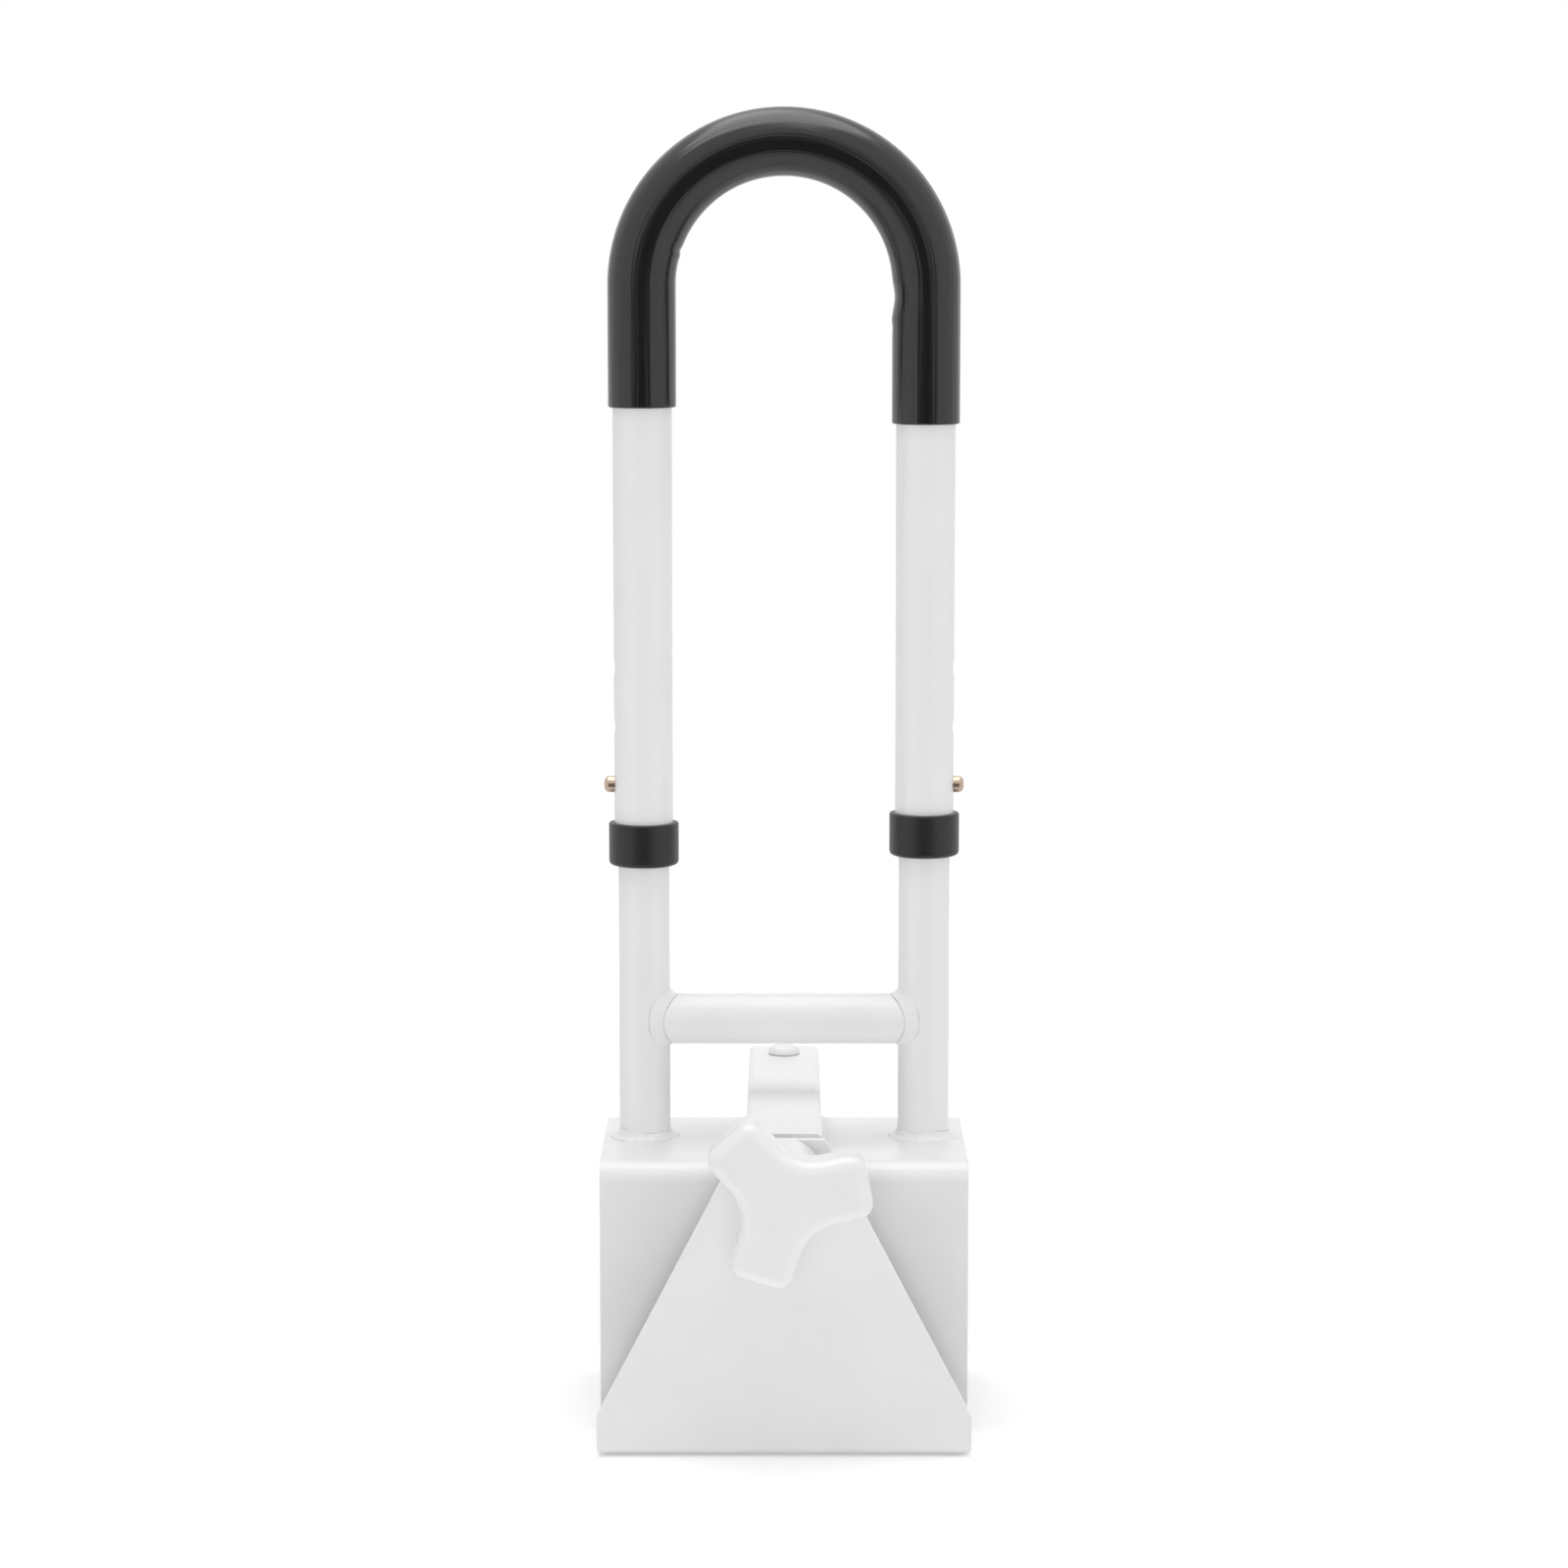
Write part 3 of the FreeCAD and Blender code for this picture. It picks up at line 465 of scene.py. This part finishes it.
def make_foot_bead(side):
    """The bead round the foot of a post."""
    node = f"{side}_foot_weld"
    low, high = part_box(node)
    post_low, post_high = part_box(f"{side}_post")
    centre = middle(f"{side}_post")
    radius = (post_high[0] - post_low[0]) / 2
    leg = high[2] - low[2]
    base = Vector((centre.x, centre.y, low[2]))
    sections = []
    for step in range(BEAD_STATIONS):
        angle = TURN * step / BEAD_STATIONS
        way = Vector((math.cos(angle), math.sin(angle), 0))
        wander = [noise.noise(way * FOOT_LUMPS + base * seed) for seed in (SPREAD_SEED, RISE_SEED)]
        spread, rise = [leg * (FOOT_LEG_SHARE + FOOT_WANDER_SHARE * value) for value in wander]
        foot = base + way * (radius + spread) - UP * BEAD_SINK
        top = base + way * (radius - BEAD_SINK) + UP * rise
        sections.append((foot, top, (way + UP).normalized(), -HOLLOW_SHARE * min(spread, rise)))
    bead(f"{side}_foot_bead", sections, True, node)


def make_cross_bead(side, sign):
    """The bead round the end of the crossbar: high above it, wide at its sides and thin below."""
    post_low, post_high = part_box(f"{side}_post")
    bar_low, bar_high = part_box("crossbar")
    post_radius = (post_high[0] - post_low[0]) / 2
    bar_radius = (bar_high[2] - bar_low[2]) / 2
    post = middle(f"{side}_post")
    height = middle("crossbar").z
    sections = []
    for step in range(BEAD_STATIONS):
        angle = TURN * step / BEAD_STATIONS
        across, upward = math.sin(angle), math.cos(angle)
        lump = Vector((across * CROSS_LUMPS, upward * CROSS_LUMPS, sign * CROSS_SEED))
        wander = 1 + CROSS_WANDER_SHARE * noise.noise(lump)
        leg = (CROSS_LEG_LOW + (CROSS_LEG_TOP - CROSS_LEG_LOW) * (1 + upward) / 2) * wander
        reach = (post_radius + leg) * upward ** 2 + CROSS_SIDE_REACH * across ** 2
        on_bar = Vector((post.x - sign * reach, post.y + bar_radius * across, height + bar_radius * upward))
        off_bar = Vector((0, across, upward))
        inward = post_radius - (post_radius - CROSS_SIDE_AXIS) * abs(across)
        side_y = math.copysign(math.sqrt(post_radius ** 2 - inward ** 2), across)
        on_post = Vector((post.x - sign * inward, post.y + side_y, height + (bar_radius + leg) * upward))
        off_post = Vector((-sign * inward, side_y, 0)).normalized()
        bulge = CROSS_SIDE_BULGE * across ** 2 - HOLLOW_SHARE * leg * upward ** 2
        sections.append((on_bar - off_bar * BEAD_SINK, on_post - off_post * BEAD_SINK,
                         (off_bar + off_post).normalized(), bulge))
    bead(f"{side}_cross_bead", sections, True, f"{side}_crossbar_weld")


def make_guide_bead(side, sign):
    """The straight bead beside the guide tube."""
    node = f"{side}_guide_weld"
    low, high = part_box(node)
    inner = low[0] if sign > 0 else high[0]
    leg = high[2] - low[2]
    away = Vector((sign, 0, 1)).normalized()
    sections = []
    for step in range(BEAD_STATIONS + 1):
        y = low[1] + (high[1] - low[1]) * step / BEAD_STATIONS
        lump = Vector((inner * GUIDE_SEED, y * GUIDE_LUMPS, 0))
        size = leg * (1 + GUIDE_WANDER_SHARE * noise.noise(lump))
        foot = Vector((inner + sign * size, y, low[2] - BEAD_SINK))
        top = Vector((inner - sign * BEAD_SINK, y, low[2] + size))
        sections.append((foot, top, away, -HOLLOW_SHARE * size))
    bead(f"{side}_guide_bead", sections, False, node)


# Screw

def ring_at(centre, y, reach):
    """A closed ring round the screw's axis, whose radius follows the angle."""
    ring = []
    for step in range(THREAD_AROUND):
        angle = TURN * step / THREAD_AROUND
        size = reach(angle)
        ring.append(Vector((centre.x + size * math.cos(angle), y, centre.z - size * math.sin(angle))))
    return ring


def make_screw():
    """The clamp screw, threaded over the part that meets the nut."""
    low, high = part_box("clamp_screw")
    centre = middle("clamp_screw")
    radius = (high[0] - low[0]) / 2
    tip = radius - SCREW_CHAMFER
    thread_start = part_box("nut_block")[0][1] - THREAD_OVERLAP
    rings = [ring_at(centre, low[1], lambda angle: tip)]
    rings.append(ring_at(centre, low[1] + SCREW_CHAMFER, lambda angle: radius))
    step = THREAD_LEAD / THREAD_STEPS
    rows = int((high[1] - thread_start) / step)
    for row in range(rows + 1):
        y = thread_start + row * step
        fade = min(1, row / THREAD_STEPS)
        limit = radius - max(0, y - (high[1] - SCREW_CHAMFER))

        def reach(angle):
            phase = (y / THREAD_LEAD - angle / TURN) % 1
            slope = min(1, max(0, abs(phase - 0.5) * THREAD_FLANK - THREAD_LAND))
            return min(limit, radius - THREAD_DEPTH * slope * fade)

        rings.append(ring_at(centre, y, reach))
    rings.append(ring_at(centre, high[1], lambda angle: tip))
    vertices, faces = skin(rings, looped=False)
    screw = piece("screw_with_thread", vertices, faces, "zinc_steel", "clamp_screw")
    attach(screw, "knob_screw")


# Springs

def make_spring(side, sign):
    """The leaf spring inside a post, built in its resting shape; on the real rail its near leg gives way as
    its button is pressed.
    """
    node = f"{side}_snap_spring"
    low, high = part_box(node)
    centre = middle(node)
    radius = (high[0] - low[0]) / 2
    bend = Vector((centre.x, centre.y, low[2] + radius))
    leg = UP * (high[2] - bend.z)
    half_width = BACK * sign * (high[1] - low[1]) / 2
    turns = [math.pi * step / SPRING_STEPS for step in range(SPRING_STEPS + 1)]
    ways = [Vector((sign * math.cos(turn), 0, -math.sin(turn))) for turn in turns]
    stations = [(bend + leg, ways[0])] + [(bend, way) for way in ways] + [(bend + leg, ways[-1])]
    rings = []
    for foot, way in stations:
        outer, inner = foot + way * radius, foot + way * (radius - SPRING_THICKNESS)
        rings.append([outer + half_width, outer - half_width, inner - half_width, inner + half_width])
    vertices, faces = skin(rings, looped=False)
    spring = piece(f"{side}_leaf_spring", vertices, faces, "spring_steel", node)
    for face in spring.data.polygons:
        face.use_smooth = False
    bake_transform(spring)


# Surroundings

def make_floor():
    """A floor that is white to the camera but for the rail's nearest shadow."""
    bpy.ops.mesh.primitive_plane_add(size=FLOOR_SIZE, location=(0, 0, cad_box[0][2] - FLOOR_GAP))
    floor = bpy.context.object
    floor.name = "floor"
    floor.visible_glossy = False
    paper, shader = finish("floor_paper", FLOOR_WHITE, roughness=1, gloss=0)
    nodes, links = paper.node_tree.nodes, paper.node_tree.links
    place = nodes.new("ShaderNodeTexCoord")
    distance = nodes.new("ShaderNodeVectorMath")
    distance.operation = "LENGTH"
    rise = nodes.new("ShaderNodeMapRange")
    rise.inputs["From Min"].default_value, rise.inputs["From Max"].default_value = GLOW_REACH
    rise.inputs["To Min"].default_value, rise.inputs["To Max"].default_value = GLOW_LEVEL
    path = nodes.new("ShaderNodeLightPath")
    glow = nodes.new("ShaderNodeMath")
    glow.operation = "MULTIPLY"
    shader.inputs["Emission Color"].default_value = WHITE
    links.new(place.outputs["Object"], distance.inputs[0])
    links.new(distance.outputs["Value"], rise.inputs["Value"])
    links.new(rise.outputs["Result"], glow.inputs[0])
    links.new(path.outputs["Is Camera Ray"], glow.inputs[1])
    links.new(glow.outputs["Value"], shader.inputs["Emission Strength"])
    floor.data.materials.append(paper)


def make_world():
    """White for the camera, a softer light, and reflections that darken low in front of the rail."""
    world = bpy.data.worlds.new("surround")
    bpy.context.scene.world = world
    world.use_nodes = True
    nodes, links = world.node_tree.nodes, world.node_tree.links
    light = nodes["Background"]
    seen, mirrored = [nodes.new("ShaderNodeBackground") for _ in range(2)]
    for surround, strength in ((light, WORLD_LIGHT), (seen, 1), (mirrored, 1)):
        surround.inputs["Color"].default_value = WHITE
        surround.inputs["Strength"].default_value = strength
    way = nodes.new("ShaderNodeTexCoord")
    nearness = nodes.new("ShaderNodeVectorMath")
    nearness.operation = "DOT_PRODUCT"
    nearness.inputs[1].default_value = DARK_WAY
    fall = nodes.new("ShaderNodeMapRange")
    fall.interpolation_type = "SMOOTHSTEP"
    fall.inputs["From Min"].default_value = DARK_EDGE
    fall.inputs["From Max"].default_value = DARK_CORE
    fall.inputs["To Min"].default_value = 1
    fall.inputs["To Max"].default_value = DARK_LEVEL
    links.new(way.outputs["Generated"], nearness.inputs[0])
    links.new(nearness.outputs["Value"], fall.inputs["Value"])
    links.new(fall.outputs["Result"], mirrored.inputs["Strength"])

    path = nodes.new("ShaderNodeLightPath")
    bounced = nodes.new("ShaderNodeMath")
    bounced.operation = "MAXIMUM"
    links.new(path.outputs["Is Glossy Ray"], bounced.inputs[0])
    links.new(path.outputs["Is Transmission Ray"], bounced.inputs[1])
    result = light
    for known, surround in ((bounced.outputs[0], mirrored), (path.outputs["Is Camera Ray"], seen)):
        mix = nodes.new("ShaderNodeMixShader")
        links.new(known, mix.inputs[0])
        links.new(result.outputs[0], mix.inputs[1])
        links.new(surround.outputs[0], mix.inputs[2])
        result = mix
    links.new(result.outputs[0], nodes["World Output"].inputs["Surface"])


def make_lamp(name, place, size, power, mirrored):
    """An oblong lamp aimed at the middle of the rail."""
    data = bpy.data.lights.new(name, "AREA")
    data.shape = "RECTANGLE"
    data.size, data.size_y = size
    data.energy = power
    lamp = bpy.data.objects.new(name, data)
    bpy.context.scene.collection.objects.link(lamp)
    lamp.visible_glossy = mirrored
    lamp.location = place
    aim_at(lamp, 0)


def make_camera():
    data = bpy.data.cameras.new("camera")
    data.lens = LENS
    data.sensor_width = SENSOR
    camera = bpy.data.objects.new("camera", data)
    bpy.context.scene.collection.objects.link(camera)
    depth = middle("left_post").y
    camera.location = (0, depth - CAMERA_DISTANCE, CAMERA_HEIGHT)
    aim_at(camera, depth)
    bpy.context.scene.camera = camera


def aim_at(item, depth):
    """Turns a lamp or camera to the middle of the rail, at a depth along Y."""
    aim = Vector((0, depth, AIM_HEIGHT))
    item.rotation_euler = (aim - item.location).to_track_quat("-Z", "Y").to_euler()


paint_nodes()
make_grip()
for side, sign in (("left", -1), ("right", 1)):
    make_foot_bead(side)
    make_cross_bead(side, sign)
    make_guide_bead(side, sign)
    make_spring(side, sign)
make_screw()
make_floor()
make_world()
for name, traits in LAMPS.items():
    make_lamp(name, *traits)
make_camera()
bpy.context.scene.view_settings.view_transform = "Standard"
